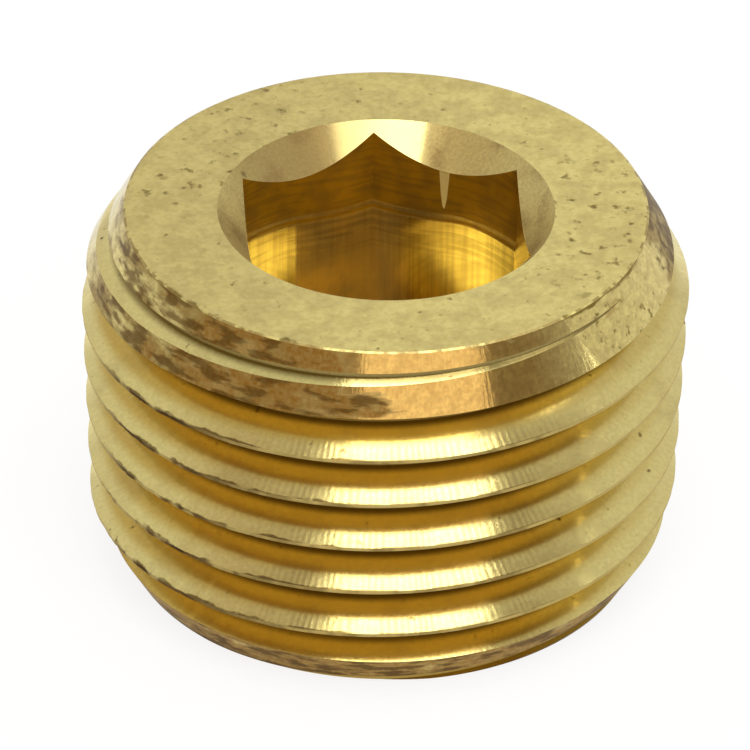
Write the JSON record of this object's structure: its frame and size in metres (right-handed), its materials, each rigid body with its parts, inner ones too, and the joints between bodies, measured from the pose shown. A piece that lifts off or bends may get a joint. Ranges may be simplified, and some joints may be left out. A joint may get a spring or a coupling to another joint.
{
  "type": "hex socket pipe plug",
  "caption": "Headless brass pipe plug with a right-hand taper thread, chamfered ends and a countersunk hexagon socket for closing a threaded port.",
  "frame": {"origin": "centre of the plain end face, on the plug's axis", "axes": "+Z along the axis from the plain end to the socket face; -Y towards the viewer of the picture and +X to the right"},
  "size_m": [0.0211, 0.021, 0.0135],
  "materials": {
    "brass": "turned, unplated, slightly tarnished"
  },
  "bodies": {
    "root": {"plug_body": "brass"}
  },
  "joints": []
}
